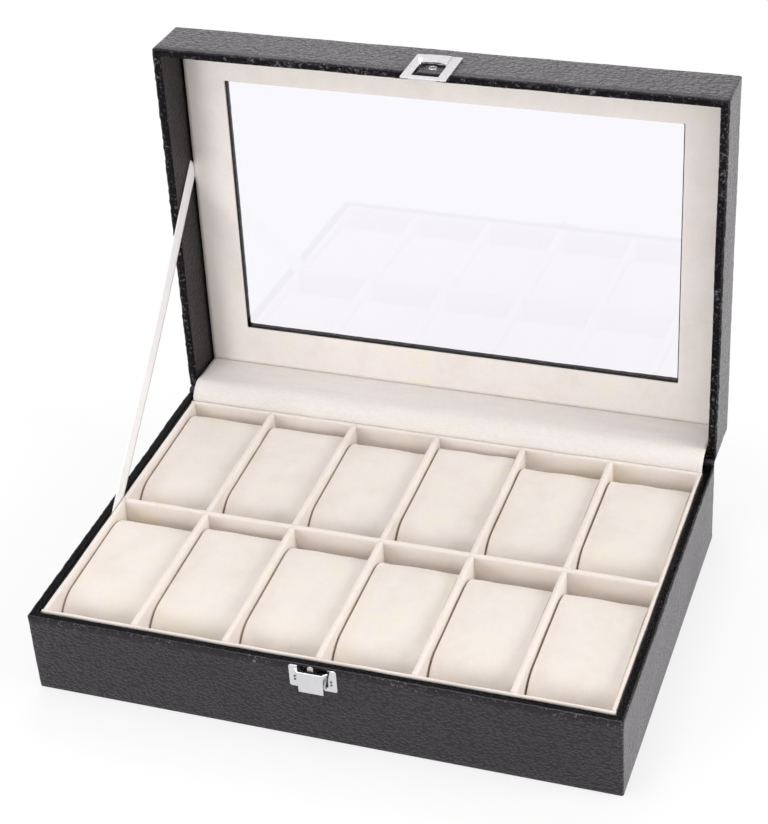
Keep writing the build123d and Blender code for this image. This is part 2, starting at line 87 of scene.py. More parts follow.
def smooth(low, high, value):
    # the smoothstep of value between low and high
    share = np.clip((value - low) / (high - low), 0, 1)
    return share * share * (3 - 2 * share)


def arc(centre, radius, start, end, count=6):
    # points on a circle from one angle to another, in degrees
    angles = np.radians(np.linspace(start, end, count))
    return np.stack([centre[0] + radius * np.cos(angles), centre[1] + radius * np.sin(angles)], -1)


def run(start, end, step):
    # evenly spaced points of a straight run, its ends left out
    start, end = np.array(start, float), np.array(end, float)
    count = max(1, int(np.linalg.norm(end - start) / step))
    return start + (end - start) * np.linspace(0, 1, count + 1)[1:-1, None]


def evenly(points, count, closed=False):
    # the same line with points at even distances along it
    line = np.vstack([points, points[:1]]) if closed else np.asarray(points, float)
    far = np.concatenate([[0], np.cumsum(np.linalg.norm(np.diff(line, axis=0), axis=1))])
    at = np.linspace(0, far[-1], count + 1)[:-1] if closed else np.linspace(0, far[-1], count)
    return np.stack([np.interp(at, far, line[:, k]) for k in range(line.shape[1])], -1)


def signedVolume(points, faces):
    # the sum of the tetrahedra from the origin to each triangle
    a, b, c, d = points[faces].transpose(1, 0, 2)
    return np.einsum("ij,ij", a, np.cross(b, c) + np.cross(c, d)) / 6


def newPiece(name, data):
    piece = bpy.data.objects.new(name, data)
    bpy.context.scene.collection.objects.link(piece)
    return piece


def makeMesh(name, parts, uv=None):
    # each part is a grid of points and how it closes: (grid, rows, columns, caps). Caps fan the end rows to their
    # middle, and a closed part is turned until its faces point outwards
    points, faces, total = [], [], 0
    for grid, wrapRows, wrapColumns, caps in parts:
        rows, columns = grid.shape[:2]
        flat = grid.reshape(-1, 3)
        index = np.arange(rows * columns).reshape(rows, columns)
        if wrapRows:
            index = np.vstack([index, index[:1]])
        if wrapColumns:
            index = np.hstack([index, index[:, :1]])
        quads = np.stack([index[:-1, :-1], index[:-1, 1:], index[1:, 1:], index[1:, :-1]], -1).reshape(-1, 4)
        if caps:
            flat = np.vstack([flat, grid[0].mean(0), grid[-1].mean(0)])
            lastPoint = len(flat) - 1
            for row, pole in ((index[0, ::-1], lastPoint - 1), (index[-1], lastPoint)):
                ring = np.stack([row[:-1], row[1:]], -1)
                poles = np.full((len(ring), 1), pole)
                quads = np.vstack([quads, np.hstack([ring, poles, poles])])
        if ((wrapRows and wrapColumns) or caps) and signedVolume(flat, quads) < 0:
            quads = quads[:, ::-1]
        points.append(flat)
        faces.append(quads + total)
        total += len(flat)
    points = np.vstack(points)
    faces = np.vstack(faces)
    loops = [list(dict.fromkeys(face)) for face in faces.tolist()]
    mesh = bpy.data.meshes.new(name)
    mesh.from_pydata((points * mm).tolist(), [], loops)
    if uv is not None:
        layer = mesh.uv_layers.new(name="cloth")
        corners = np.zeros(len(mesh.loops), int)
        mesh.loops.foreach_get("vertex_index", corners)
        layer.data.foreach_set("uv", (uv.reshape(-1, 2) * mm)[corners].astype(np.float32).ravel())
    mesh.shade_smooth()
    return newPiece(name, mesh)


def carriedRound(section, radius, step, perCorner=7):
    # a section of (inset, height) carried round the box: each row is a rounded rectangle, drawn in by the inset, of
    # four corner arcs joined by straight runs. Steps counts from the middle of each arc
    halfX, halfY = (box[side] / 2 - section[:, :1] for side in ("width", "depth"))
    radius = np.asarray(radius)[:, None]
    arcs = []
    for quarter, (sx, sy) in enumerate(((1, 1), (-1, 1), (-1, -1), (1, -1))):
        angles = np.radians(np.linspace(0, 90, perCorner) + 90 * quarter)[None, :]
        x = sx * (halfX - radius) + radius * np.cos(angles)
        y = sy * (halfY - radius) + radius * np.sin(angles)
        arcs.append(np.dstack([x, y, np.broadcast_to(section[:, 1:], x.shape)]))
    loops, steps = [], []
    for side, (this, after) in enumerate(zip(arcs, arcs[1:] + arcs[:1])):
        length = 2 * (halfX if side % 2 == 0 else halfY).max()
        share = np.linspace(0, 1, int(length / step) + 1)[1:-1, None]
        loops += [this, this[:, -1:] + (after[:, :1] - this[:, -1:]) * share]
        steps += [np.abs(np.arange(perCorner) - perCorner // 2), np.full(len(share), perCorner)]
    return np.hstack(loops), np.concatenate(steps)


def towardsWindow(points, share):
    # the window is a little off the middle of the lid, and rows near it go along with it
    return points + share[:, None, None] * [window["right"], -window["front"], 0]


def camelName(node, ending):
    # a piece's name from its node's
    first, *others = node.split("_")
    return first + "".join(word.capitalize() for word in others) + ending


def subdivided(piece):
    smoother = piece.modifiers.new("smoother", "SUBSURF")
    smoother.levels = smoother.render_levels = 1
    return piece


def finished(piece, material, body=None, replaces=()):
    # its finish, its body, its slot and the nodes it stands for
    piece.data.materials.clear()
    piece.data.materials.append(material)
    if body:
        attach(piece, body)
    if replaces:
        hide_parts(*replaces)
    return piece


# Nodes, for the studio and for the finishes

def feed(tree, sockets, values):
    # an output is linked to its socket, and anything else is written on it
    for socket, value in zip(sockets, values):
        if hasattr(value, "is_output"):
            tree.links.new(value, socket)
        else:
            socket.default_value = value


def feedNamed(tree, node, **values):
    # sockets by name, with an underline for each space
    feed(tree, [node.inputs[key.replace("_", " ")] for key in values], values.values())


def addNode(tree, kind, settings=None, **values):
    node = tree.nodes.new(kind)
    for key, value in (settings or {}).items():
        setattr(node, key, value)
    feedNamed(tree, node, **values)
    return node


def joined(tree, operation, first, second):
    # one step of arithmetic on two outputs or numbers
    node = addNode(tree, "ShaderNodeMath", {"operation": operation})
    feed(tree, node.inputs, (first, second))
    return node.outputs[0]


def summed(tree, *terms):
    # the sum of outputs, each times its share
    total = None
    for value, share in terms:
        part = value if share == 1 else joined(tree, "MULTIPLY", value, share)
        total = part if total is None else joined(tree, "ADD", total, part)
    return total


def mixToOutput(tree, kind, share, first, second):
    # the second shader over the first by its share, into the tree's output
    mix = tree.nodes.new("ShaderNodeMixShader")
    feed(tree, mix.inputs, (share, first.outputs[0], second.outputs[0]))
    tree.links.new(mix.outputs[0], tree.nodes.new(kind).inputs[0])


def placed(tree, scale=(1, 1, 1), map_=None):
    # object coordinates, or the piece's own map, scaled along each axis
    source = tree.nodes.new("ShaderNodeUVMap" if map_ else "ShaderNodeTexCoord")
    if map_:
        source.uv_map = map_
    out = source.outputs["UV" if map_ else "Object"]
    return addNode(tree, "ShaderNodeMapping", Vector=out, Scale=scale).outputs["Vector"]


def noise(tree, at, scale, detail, **values):
    return addNode(tree, "ShaderNodeTexNoise", Vector=at, Scale=scale, Detail=detail, **values).outputs["Fac"]


def ramp(tree, source, stops):
    # a colour ramp through stops, each a place with a grey or a colour
    node = addNode(tree, "ShaderNodeValToRGB", Fac=source)
    while len(node.color_ramp.elements) < len(stops):
        node.color_ramp.elements.new(0.5)
    for element, (place, colour) in zip(node.color_ramp.elements, stops):
        element.position = place
        element.color = (*colour, 1) if hasattr(colour, "__len__") else (colour, colour, colour, 1)
    return node.outputs["Color"]


def bumped(tree, shader, height, distance, strength=1.0):
    node = addNode(tree, "ShaderNodeBump", Height=height, Distance=distance, Strength=strength)
    feedNamed(tree, shader, Normal=node.outputs["Normal"])


# Camera, light and floor

camera = {
    "place": (316.87, -807.57, 708.0),
    "right": (0.94540, 0.32036, -0.05989),
    "forward": (-0.29766, 0.77390, -0.55900),
    "lens": 93.77, "sensor": 36.0, "clip": (0.05, 30.0),
}
light = {
    "sky": 0.60, "aim": (0, 0.03, 0.06),    # even light from all round, and what the lamps point at
    "lamps": {      # place, diameter, watts, whether glossy surfaces show it
        "frontLamp": ((-1.15, -2.00, 0.62), 1.1, 15.5, False),
        "sideLamp": ((1.85, 0.05, 0.85), 1.0, 18.0, True),
        "topLamp": ((-0.30, -0.10, 1.80), 0.9, 7.2, True),
        "backLamp": ((-0.38, 1.18, 1.50), 0.9, 6.5, True),
    },
    "floorColour": (0.95, 0.95, 0.95), "floorGlow": 0.74, "floorHalf": 6000.0,
}


def addCamera():
    # the columns of its matrix are right, up, back and its place
    data = bpy.data.cameras.new("camera")
    data.sensor_width, data.lens = camera["sensor"], camera["lens"]
    data.clip_start, data.clip_end = camera["clip"]
    piece = newPiece("camera", data)
    right = np.array(camera["right"])
    back = -np.array(camera["forward"])
    matrix = np.eye(4)
    matrix[:3] = np.stack([right, np.cross(back, right), back, np.array(camera["place"]) * mm], -1)
    piece.matrix_world = mathutils.Matrix(matrix.tolist())
    bpy.context.scene.camera = piece


def addLamp(name, place, size, power, inGloss):
    # a round lamp, tipped up from straight down and turned until it points at the aim
    data = bpy.data.lights.new(name, "AREA")
    data.shape, data.size, data.energy = "DISK", size, power
    piece = newPiece(name, data)
    piece.location = place
    piece.visible_glossy = inGloss
    x, y, z = np.array(light["aim"]) - np.array(place)
    piece.rotation_euler = (math.atan2(math.hypot(x, y), -z), 0, math.atan2(y, x) - math.pi / 2)


def emptyTree(owner):
    owner.use_nodes = True
    owner.node_tree.nodes.clear()
    return owner.node_tree


def seenDirectly(tree):
    # 1 for rays of the camera, of gloss and of glass, which see the plain white background
    paths = tree.nodes.new("ShaderNodeLightPath").outputs
    either = joined(tree, "MAXIMUM", paths["Is Camera Ray"], paths["Is Glossy Ray"])
    return joined(tree, "MAXIMUM", either, paths["Is Transmission Ray"])


def addWorld():
    # even light of one strength, and white where it is seen directly
    world = bpy.data.worlds.new("studio")
    bpy.context.scene.world = world
    tree = emptyTree(world)
    sky = addNode(tree, "ShaderNodeBackground", Color=(1.0, 1.0, 1.0, 1), Strength=light["sky"])
    white = addNode(tree, "ShaderNodeBackground", Color=(1.0, 1.0, 1.0, 1))
    mixToOutput(tree, "ShaderNodeOutputWorld", seenDirectly(tree), sky, white)


def addFloor():
    # a matte sheet that keeps the shadow, with a share of white glow where it is seen directly
    material = bpy.data.materials.new("studioFloor")
    tree = emptyTree(material)
    paint = addNode(tree, "ShaderNodeBsdfDiffuse", Color=(*light["floorColour"], 1))
    share = joined(tree, "MULTIPLY", seenDirectly(tree), light["floorGlow"])
    mixToOutput(tree, "ShaderNodeOutputMaterial", share, paint, addNode(tree, "ShaderNodeEmission"))
    across = np.linspace(-light["floorHalf"], light["floorHalf"], 3)
    x, y = np.meshgrid(across, across, indexing="ij")
    grid = np.stack([x, y, np.zeros_like(x)], -1)
    floor = makeMesh("studioFloorSheet", [(grid, False, False, False)])
    floor.data.materials.append(material)


addCamera()
for name, lamp in light["lamps"].items():
    addLamp(name, *lamp)
addWorld()
addFloor()
scene = bpy.context.scene
scene.view_settings.view_transform = "Standard"
print("stage: camera, light and floor")


# Finishes, each a small tree of nodes on object coordinates or the piece's own map

wide = (0.72, 0.85, 1.0)    # draws the leather's pebbles out across and along the box
# in each leather the darkest colour is painted shade in the creases between the pebbles, and the lightest is painted
# highlight on their tops
leatherLook = {
    "blackLeather": {
        "crease": (0.0025, 0.0023, 0.0028), "colour": (0.0095, 0.0086, 0.0106), "worn": (0.0210, 0.0195, 0.0228),
        "roughness": (0.24, 0.40), "ior": 1.44, "sheen": 0.45, "grain": 720.0, "depth": 0.00026, "stretch": wide,
    },
    "lidLeather": {
        "crease": (0.0020, 0.0018, 0.0022), "colour": (0.0085, 0.0077, 0.0095), "worn": (0.0210, 0.0195, 0.0228),
        "roughness": (0.20, 0.38), "ior": 1.43, "sheen": 0.42, "grain": 600.0, "depth": 0.00038,
        "stretch": (0.60, 0.82, 1.0),
    },
    # the lid's inside walls: a darker copy of the leather without sheen, painted shade for walls the light hardly
    # reaches
    "insideLeather": {
        "crease": (0.0025, 0.0023, 0.0028), "colour": (0.0060, 0.0055, 0.0064), "worn": (0.0095, 0.0088, 0.0100),
        "roughness": (0.30, 0.42), "ior": 1.42, "sheen": 0.0, "grain": 640.0, "depth": 0.00018, "stretch": wide,
    },
    # the rims and the window's reveal: a near-black copy of the leather that reflects little, painted shade for the
    # dark the rims mirror
    "rimLeather": {
        "crease": (0.0015, 0.0014, 0.0016), "colour": (0.0025, 0.0023, 0.0026), "worn": (0.0045, 0.0042, 0.0047),
        "roughness": (0.18, 0.28), "ior": 1.13, "sheen": 0.0, "grain": 640.0, "depth": 0.00008, "stretch": wide,
    },
}
anyLeather = {
    "glossTint": (1.0, 0.90, 0.99, 1), "sheenTint": (1.0, 0.95, 1.0, 1), "sheenRoughness": 0.35,
    "drift": (0.0022, 0.0022, 0.0022),      # how far the pebbles are pushed out of line
    "finer": 2.1, "grains": 0.28, "uneven": 0.8,    # a finer grain, and the shares of it and of a broad noise
}
edgeLook = {    # stretched leather, with painted highlights as broken light flecks in its colour
    "edgeLeather": {
        "stops": (0.52, 0.59, 0.67),
        "shades": ((0.0050, 0.0044, 0.0054), (0.030, 0.028, 0.031), (0.190, 0.183, 0.195)),
        "speckle": 760.0, "depth": 0.00016, "ior": 1.40,
    },
    # the lid's rim: near black as painted shade, like the base's rim, with painted highlights in its flecks
    "lidRimLeather": {
        "stops": (0.50, 0.565, 0.66),
        "shades": ((0.0028, 0.0026, 0.0029), (0.018, 0.017, 0.019), (0.170, 0.163, 0.175)),
        "speckle": 560.0, "depth": 0.00018, "ior": 1.20,
    },
}
velvetLook = {
    "light": (0.890, 0.815, 0.785), "deep": (0.835, 0.760, 0.700), "warm": (0.890, 0.818, 0.700),
    "sheen": 0.25, "sheenTint": (1.0, 0.96, 0.9, 1), "pile": 0.00012,
}
satinLook = {
    "colour": (0.975, 0.970, 0.980, 1), "roughness": 0.30, "level": 0.7, "sheen": 1.0,
    "threads": {"X": (900.0, 0.6), "Y": (520.0, 0.8)}, "relief": 0.00003,   # scale and waver of each direction
}
glassLook = {"colour": (0.926, 0.915, 0.964, 1), "ior": 1.45, "waves": 9.0, "relief": 0.00002}


def startMaterial(name, **values):
    # a new material, with values on the sockets of its own shader
    material = bpy.data.materials.new(name)
    material.use_nodes = True
    tree = material.node_tree
    shader = tree.nodes["Principled BSDF"]
    feedNamed(tree, shader, **values)
    return material, tree, shader


def makeLeather(name, look):
    # rounded pebbles wider than they are tall, pushed out of line by a soft noise; the colour has painted shade in
    # the creases between them and painted highlight on their tops
    material, tree, shader = startMaterial(
        name, IOR=look["ior"], Specular_Tint=anyLeather["glossTint"], Sheen_Weight=look["sheen"],
        Sheen_Roughness=anyLeather["sheenRoughness"], Sheen_Tint=anyLeather["sheenTint"],
    )
    at = placed(tree, look["stretch"])
    drift = addNode(tree, "ShaderNodeTexNoise", Vector=at, Scale=230.0, Detail=3.0)
    shifted = addNode(tree, "ShaderNodeVectorMath", {"operation": "MULTIPLY_ADD"})
    feed(tree, shifted.inputs, (drift.outputs["Color"], anyLeather["drift"], at))
    pebbles, small = (
        addNode(tree, "ShaderNodeTexVoronoi", Vector=shifted.outputs[0], Scale=scale)
        for scale in (look["grain"], anyLeather["finer"] * look["grain"])
    )
    domes = ramp(tree, pebbles.outputs["Distance"], ((0.0, 1.0), (0.30, 0.88), (0.55, 0.45), (0.80, 0.0)))
    grains = ramp(tree, small.outputs["Distance"], ((0.0, 1.0), (0.35, 0.8), (0.8, 0.0)))
    fine = noise(tree, at, 2600.0, 2.0)
    broad = noise(tree, at, 45.0, 3.0)
    height = summed(tree, (domes, 1), (grains, anyLeather["grains"]), (broad, anyLeather["uneven"]))
    bumped(tree, shader, height, look["depth"])
    # painted shade in the creases and painted highlight on the pebble tops, stronger in broad patches
    worn = joined(tree, "MULTIPLY", domes, joined(tree, "ADD", broad, 0.35))
    shades = ((0.10, look["crease"]), (0.45, look["colour"]), (0.95, look["worn"]))
    low, high = look["roughness"]
    gloss = ramp(tree, summed(tree, (fine, 0.5), (domes, 0.5)), ((0.3, high), (0.8, low)))
    feedNamed(tree, shader, Base_Color=ramp(tree, worn, shades), Roughness=gloss)
    return material


def makeEdgeLeather(name, look):
    # a fine noise under a broad one places light flecks in the colour, painted highlights where the stretched leather
    # would catch the light
    gloss = anyLeather["glossTint"]
    material, tree, shader = startMaterial(name, IOR=look["ior"], Roughness=0.24, Specular_Tint=gloss)
    flecks = noise(tree, placed(tree), look["speckle"], 4.0, Roughness=0.7)
    broad = noise(tree, placed(tree), 38.0, 2.0)
    # the light flecks are painted highlights
    paintedGlints = summed(tree, (flecks, 0.82), (broad, 0.18))
    feedNamed(tree, shader, Base_Color=ramp(tree, paintedGlints, tuple(zip(look["stops"], look["shades"]))))
    bumped(tree, shader, flecks, look["depth"])
    return material


def makeVelvet(name, tint, stretch=(1.0, 1.0, 1.0), streaks=0.5):
    # broad clouds and finer strokes of the pile choose between three shades, times a speckle of single fibres
    look = velvetLook
    material, tree, shader = startMaterial(
        name, Roughness=0.92, Specular_IOR_Level=0.15,
        Sheen_Weight=look["sheen"], Sheen_Roughness=0.45, Sheen_Tint=look["sheenTint"],
    )
    at = placed(tree, stretch)
    broad = noise(tree, at, 42.0, 3.0, Roughness=0.6)
    stroke = noise(tree, at, 170.0, 4.0, Roughness=0.65, Distortion=0.6)
    fibre = noise(tree, at, 2400.0, 2.0)
    shades = [tuple(c * t for c, t in zip(look[key], tint)) for key in ("deep", "light", "warm")]
    clouds = summed(tree, (broad, 1 - streaks * 0.5), (stroke, streaks * 0.5))
    base = ramp(tree, clouds, tuple(zip((0.30, 0.52, 0.72), shades)))
    speckle = ramp(tree, fibre, ((0.35, 0.93), (0.65, 1.0)))
    colour = addNode(tree, "ShaderNodeMix", {"data_type": "RGBA", "blend_type": "MULTIPLY"})
    feed(tree, [colour.inputs[number] for number in (0, 6, 7)], (1.0, base, speckle))
    feedNamed(tree, shader, Base_Color=colour.outputs[2])
    bumped(tree, shader, summed(tree, (fibre, 1), (stroke, 1.4)), look["pile"], 0.6)
    return material


def makeSatin(name, look):
    # fine waves along the ribbon and, half as deep, across it
    material, tree, shader = startMaterial(
        name, Base_Color=look["colour"], Roughness=look["roughness"], Specular_IOR_Level=look["level"],
        Sheen_Weight=look["sheen"], Sheen_Roughness=0.3,
    )
    at = placed(tree, map_="cloth")
    warp, weft = (
        addNode(tree, "ShaderNodeTexWave", {"bands_direction": way}, Vector=at, Scale=scale, Distortion=waver)
        for way, (scale, waver) in look["threads"].items()
    )
    bumped(tree, shader, summed(tree, (warp.outputs["Fac"], 1), (weft.outputs["Fac"], 0.5)), look["relief"], 0.6)
    return material


def makeMetal(name, colour, roughness, scratches=0.05):
    # a soft noise, drawn out upwards, dulls the plating a little here and there
    material, tree, shader = startMaterial(name, Metallic=1.0)
    haze = noise(tree, placed(tree, (1.0, 1.0, 0.35)), 420.0, 4.0)
    shades = ((0.35, tuple(0.93 * c for c in colour)), (0.7, colour))
    dull = ((0.3, roughness), (0.75, roughness + scratches))
    feedNamed(tree, shader, Base_Color=ramp(tree, haze, shades), Roughness=ramp(tree, haze, dull))
    bumped(tree, shader, haze, 0.00002, 0.5)
    return material


def makeBoard(name, colour):
    # a fine noise for pressed fibres, dark and light
    material, tree, shader = startMaterial(name, Roughness=0.85, Specular_IOR_Level=0.2)
    fibres = noise(tree, placed(tree), 650.0, 4.0)
    shades = ((0.3, tuple(0.7 * c for c in colour)), (0.7, colour))
    feedNamed(tree, shader, Base_Color=ramp(tree, fibres, shades))
    bumped(tree, shader, fibres, 0.00008, 0.5)
    return material


def makeGlass(name, look):
    # clear, with waves too shallow to see except in its reflections
    material, tree, shader = startMaterial(
        name, Base_Color=look["colour"], Roughness=0.0, IOR=look["ior"], Transmission_Weight=1.0,
    )
    bumped(tree, shader, noise(tree, placed(tree), look["waves"], 1.0), look["relief"], 0.3)
    return material


blackLeather, lidLeather, insideLeather, rimLeather = (makeLeather(*item) for item in leatherLook.items())
edgeLeather, lidRimLeather = (makeEdgeLeather(*item) for item in edgeLook.items())
beigeVelvet = makeVelvet("beigeVelvet", tint=(0.99, 0.985, 0.96))
pillowVelvet = makeVelvet("pillowVelvet", tint=(0.98, 0.98, 0.955), streaks=0.35)
# a lighter copy of the beige velvet for the lid's frame: painted light, standing for the frame lit more from the
# front
linerVelvet = makeVelvet("linerVelvet", tint=(1.10, 1.12, 1.13))
flapVelvet = makeVelvet("flapVelvet", tint=(1.01, 1.03, 1.05), stretch=(0.2, 1.0, 1.0), streaks=1.2)
ribbonSatin = makeSatin("ribbonSatin", satinLook)
brightChrome = makeMetal("brightChrome", (0.71, 0.70, 0.725), 0.17)
darkSteel = makeMetal("darkSteel", (0.17, 0.165, 0.17), 0.32, 0.1)
eyeletSteel = makeMetal("eyeletSteel", (0.40, 0.39, 0.40), 0.24, 0.1)
springSteel = makeMetal("springSteel", (0.60, 0.59, 0.57), 0.28, 0.1)
rawBoard = makeBoard("rawBoard", (0.44, 0.33, 0.22))
# near-black board for the lid's panel, whose edge shows round the pane; its dark is partly painted shade for the
# shadow and dark glass edge there
darkPanelBoard = makeBoard("darkPanelBoard", (0.02, 0.018, 0.018))
underFelt = makeBoard("underFelt", (0.022, 0.021, 0.022))
clearGlass = makeGlass("clearGlass", glassLook)
print("stage: finishes")


# Leather of the base and of the lid

coverShape = {
    "topEdge": 1.0, "insideEdge": 0.8, "footEdge": 0.7, "windowEdge": 0.9, "plan": 1.25, "planInside": 0.35,
    "planWindow": 0.9, "down": 12.0, "under": 12.8,     # how far it goes down inside the rim and in under the foot
    "step": 2.0, "wave": 0.16, "waveLength": 46.0, "dimple": 0.07, "dimpleLength": 6.0, "mitre": 0.16,
    "rough": 0.16, "roughLength": 4.5, "proud": 0.12,   # the shut lid presses the rims no further out than this
}
flatLeather = {     # where the leather lies flat and where it is free again
    "middle": (13.0, 20.0), "catch": (28.0, 32.0), "strike": (20.0, 24.0), "strip": (16.0, 20.0),
    "reveal": (22.0, 25.0), "front": -90.0, "back": 96.0,
}


def coverGrid(outer, inner):
    # the section, its grid, the steps from each corner, and 1 on the outer rows
    rows = np.vstack([outer, inner])
    radius = np.maximum(coverShape["plan"] - rows[:, 0], coverShape["planInside"])
    radius = np.where(rows[:, 0] > window["margin"] - 8, coverShape["planWindow"], radius)
    points, steps = carriedRound(rows, radius, coverShape["step"])
    return rows.T, points, steps, (np.arange(len(rows)) < len(outer))[:, None] * 1.0


def mitred(steps, onRim):
    # the rim sinks in the middle of each corner, and a quarter as deep beside it
    return coverShape["mitre"] * onRim[:, None] * np.where(steps == 0, 1.0, np.where(steps == 1, 0.25, 0.0))


def finishRows(piece, columns, finishes):
    # each finish takes its own rows of faces: they lie row after row in the mesh
    slots = np.zeros(len(finishes[0][1]), int)
    for number, (material, rows) in enumerate(finishes, 1):
        piece.data.materials.append(material)
        slots[rows] = number
    piece.data.polygons.foreach_set("material_index", np.repeat(slots.astype(np.int32), columns))


def handWrapped(points, seed, quiet, edge):
    # leather glued by hand: long soft waves, small dimples and puckers at the edge, and none where quiet is 0
    shape = coverShape
    moves = np.stack([
        shape["wave"] * (ripple(points, shape["waveLength"], seed + k) - 0.5)
        + shape["dimple"] * ripple(points, shape["dimpleLength"], seed + 10 + k)
        + shape["rough"] * ripple(points, shape["roughLength"], seed + 20 + k) * edge[:, None]
        for k in range(3)
    ], -1)
    return points + moves * quiet[..., None] * [1, 1, 0.6]


def makeBaseLeather():
    # its section comes up inside the rim and goes over it, down the side and in under the foot, and back inside
    shape, still, height, rim, skin = coverShape, flatLeather, box["baseHeight"], box["rim"], box["leather"]
    top, inside, foot = shape["topEdge"], shape["insideEdge"], shape["footEdge"]
    start, under = height - shape["down"], shape["under"]
    outer = np.vstack([
        [[rim, start]], run((rim, start), (rim, height - inside), 2.4),
        arc((rim - inside, height - inside), inside, 0, 90),
        run((rim - inside, height), (top, height), 0.7),
        arc((top, height - top), top, 90, 180, 7),
        run((0, height - top), (0, foot), 2.6),
        arc((foot, foot), foot, 180, 270),
        run((foot, 0), (under, 0), 2.5), [[under, 0]],
    ])
    inner = np.array([
        [under, skin], [skin, skin], [skin, height - skin], [rim - skin, height - skin], [rim - skin, start],
    ])
    (inset, rise), points, steps, isOuter = coverGrid(outer, inner)
    x, y, z = np.moveaxis(points, -1, 0)
    catch = (1 - smooth(*still["middle"], np.abs(x))) * (y < 0) * smooth(*still["catch"], z)
    quiet = isOuter * smooth(0.2, 5, z) * (1 - catch)
    nearEdge = (rise > height - top - 0.01) & (inset <= top + 0.01)
    points = handWrapped(points, 11, quiet, nearEdge * 1.0)
    points[..., 2] = np.minimum(points[..., 2], height + shape["proud"])
    onRim = (inset > top * 0.6) & (inset < rim) & (rise > height - 0.6)
    points[..., 2] -= mitred(steps, onRim) * isOuter
    piece = finished(
        makeMesh("baseLeatherWrap", [(points, True, True, False)]),
        blackLeather, "base", ["base_leather_cover"],
    )
    onRim = (rise > height - 0.9) & (inset > top)
    # the rim takes the near-black copy of the leather, painted shade, and the top edge takes the painted highlight
    # flecks
    finishRows(piece, len(steps), [(rimLeather, onRim), (edgeLeather, nearEdge)])


def makeLidLeather():
    # its section goes from the pane round the rim, up the side, over the top and down to the pane, and back inside
    shape, still, deep, rim, skin = coverShape, flatLeather, box["lidDepth"], box["rim"], box["leather"]
    top, inside, edge, sight = shape["topEdge"], shape["insideEdge"], shape["windowEdge"], window["margin"]
    outer = np.vstack([
        [[rim, glassInside]], run((rim, glassInside), (rim, inside), 2.4),
        arc((rim - inside, inside), inside, 0, -90),
        run((rim - inside, 0), (top, 0), 0.7),
        arc((top, top), top, 270, 180, 7),
        run((0, top), (0, deep - top), 2.6),
        arc((top, deep - top), top, 180, 90, 7),
        run((top, deep), (sight - edge, deep), 3.0),
        arc((sight - edge, deep - edge), edge, 90, 0),
        run((sight, deep - edge), (sight, glassOutside), 1.2), [[sight, glassOutside]],
    ])
    inner = np.array([
        [sight - skin, glassOutside], [sight - skin, deep - skin], [skin, deep - skin],
        [skin, skin], [rim - skin, skin], [rim - skin, glassInside],
    ])
    (inset, rise), flat, steps, isOuter = coverGrid(outer, inner)
    flat = towardsWindow(flat, smooth(rim, sight - edge, inset))
    x, y, out = np.moveaxis(flat, -1, 0)
    strike = (1 - smooth(*still["middle"], np.abs(x))) * (y < still["front"]) * (1 - smooth(*still["strike"], out))
    strip = (y > still["back"]) * (1 - smooth(*still["strip"], out))
    reveal = smooth(*still["reveal"], out) * ((inset > sight / 2) & (rise < deep - 1))[:, None]
    quiet = isOuter * (1 - strike) * (1 - strip) * (1 - reveal)
    nearEdge = (rise < top + 0.01) & (inset <= top + 0.01)
    flat = handWrapped(flat, 37, quiet, nearEdge * 1.6)
    flat[..., 2] = np.maximum(flat[..., 2], -shape["proud"])
    onRim = (inset > top * 0.6) & (inset < rim) & (rise < 0.6)
    flat[..., 2] += mitred(steps, onRim) * isOuter
    points = lidPoints(flat[..., 0], flat[..., 1] - box["depth"] / 2, flat[..., 2])
    piece = finished(
        makeMesh("lidLeatherWrap", [(points, True, True, False)]),
        lidLeather, "lid", ["lid_leather_cover"],
    )
    onRim = (rise < 0.9) & (inset > top)
    inReveal = (inset > sight - edge * 0.5) & (rise > glassOutside - 1)
    within = np.isclose(inset, rim) & (rise > inside + 0.1)
    # the lid's rim and the window's reveal take near-black copies of the leather, painted shade; the inside walls a
    # darker copy, painted shade; the outer edges painted highlight flecks
    finishRows(piece, len(steps), [
        (lidRimLeather, onRim), (rimLeather, inReveal), (insideLeather, within), (edgeLeather, nearEdge),
    ])


makeBaseLeather()
makeLidLeather()
print("stage: leather")


# Velvet boards of the tray

boardShape = {
    "round": 1.05, "crown": 0.25, "step": 1.6, "uneven": 0.12, "wavyTop": 0.16, "length": 30.0,
    "butt": 0.5, "liner": 2.4, "divider": 3.4, "trayFront": -94.4, "trayBack": 93.0, "halfTray": 142.4,
}


def velvetBoard(start, end, thick, seed):
    # a rounded upright profile carried along a straight line, a little uneven in thickness and along its top
    shape = boardShape
    high, half, round_ = box["baseHeight"], thick / 2, shape["round"]
    side = np.vstack([[[-half, floorTop]], run((-half, floorTop), (-half, high - round_), 3.2)])
    crown = np.vstack([arc((-half + round_, high - round_), round_, 180, 90, 5),
                       run((-half + round_, high), (half - round_, high), 0.5),
                       arc((half - round_, high - round_), round_, 90, 0, 5)])
    profile = np.vstack([side, crown, side[::-1] * [-1, 1], [[0, floorTop]]])
    start, end = np.array(start, float), np.array(end, float)
    length = np.linalg.norm(end - start)
    along = (end - start) / length
    across = np.array([-along[1], along[0]])
    stations = np.linspace(0, length, int(length / shape["step"]) + 1)
    plan = start + stations[:, None, None] * along + profile[None, :, :1] * across
    points = np.dstack([plan, np.broadcast_to(profile[:, 1], plan.shape[:2])])
    top = smooth(high - 6, high, profile[:, 1])
    thickness = ripple(points, shape["length"], seed) * shape["uneven"] - shape["uneven"] * 0.6
    onSide = np.sign(profile[:, 0]) * (np.abs(profile[:, 0]) > half * 0.4)
    points[..., :2] += onSide[None, :, None] * thickness[..., None] * across
    lift = ripple(points * [1, 1, 0], shape["length"], seed + 1) * shape["wavyTop"] - shape["wavyTop"] * 0.7
    crownShare = np.clip(1 - (profile[:, 0] / half) ** 2, 0, 1)[None, :]
    points[..., 2] += top * (lift + shape["crown"] * crownShare - shape["crown"])
    return points, False, True, True


